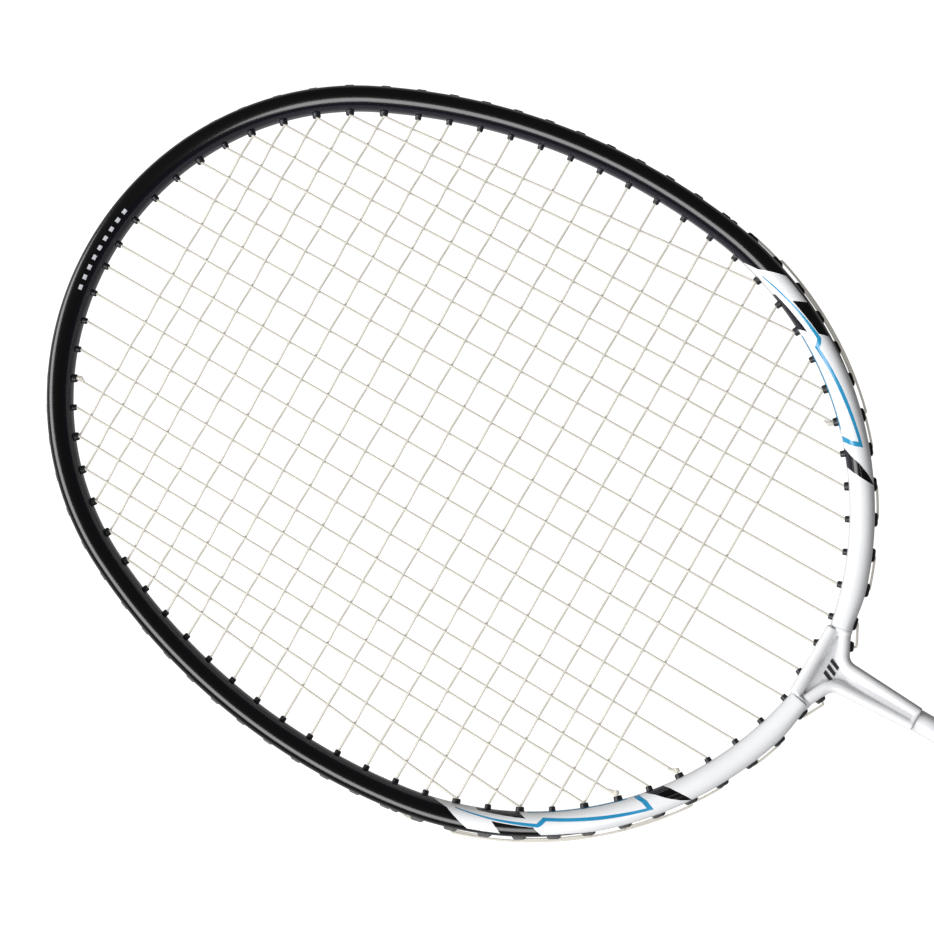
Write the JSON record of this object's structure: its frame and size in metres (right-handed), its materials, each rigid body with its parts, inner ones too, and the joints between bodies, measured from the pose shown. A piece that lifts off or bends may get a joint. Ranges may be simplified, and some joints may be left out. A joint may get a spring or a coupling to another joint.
{
  "type": "badminton racket",
  "caption": "Badminton racket with a squared oval tube head, black grommets, woven strings, moulded T-joint, slim straight shaft, cone and wrapped grip",
  "frame": {"origin": "centre of the flat butt face", "axes": "+Y runs from the butt to the top of the head, X across the head, +Z square to the string bed; the string bed and the shaft's axis lie at Z = 0"},
  "size_m": [0.1998, 0.6749, 0.0292],
  "materials": {
    "hoop_enamel": "black and white gloss enamel on aluminium tube",
    "joint_plastic": "white moulded plastic with a satin grey web",
    "mark_ink": "black printed mark",
    "shaft_enamel": "white gloss enamel on steel tube",
    "cone_plastic": "satin black moulded plastic",
    "handle_wood": "bare planed hardwood",
    "grip_tape": "perforated synthetic grip tape, spiral wrapped",
    "closing_tape": "black adhesive tape",
    "badge_metal": "brushed disc",
    "grommet_nylon": "black moulded nylon",
    "string_nylon": "cream multifilament string"
  },
  "bodies": {
    "root": {"head_hoop": "hoop_enamel", "t_joint": "joint_plastic", "t_mark_front": "mark_ink", "t_mark_back": "mark_ink", "shaft": "shaft_enamel", "cone_cap": "cone_plastic", "handle_core": "handle_wood", "grip_wrap": "grip_tape", "finishing_tape": "closing_tape", "butt_cap": "cone_plastic", "butt_badge": "badge_metal", "crown_grommets": "grommet_nylon", "right_grommets": "grommet_nylon", "left_grommets": "grommet_nylon", "throat_grommets": "grommet_nylon", "shared_grommets": "grommet_nylon", "right_groove_end": "grommet_nylon", "left_groove_end": "grommet_nylon", "main_string": "string_nylon", "cross_string": "string_nylon", "main_knots": "string_nylon", "cross_knots": "string_nylon"}
  },
  "joints": []
}
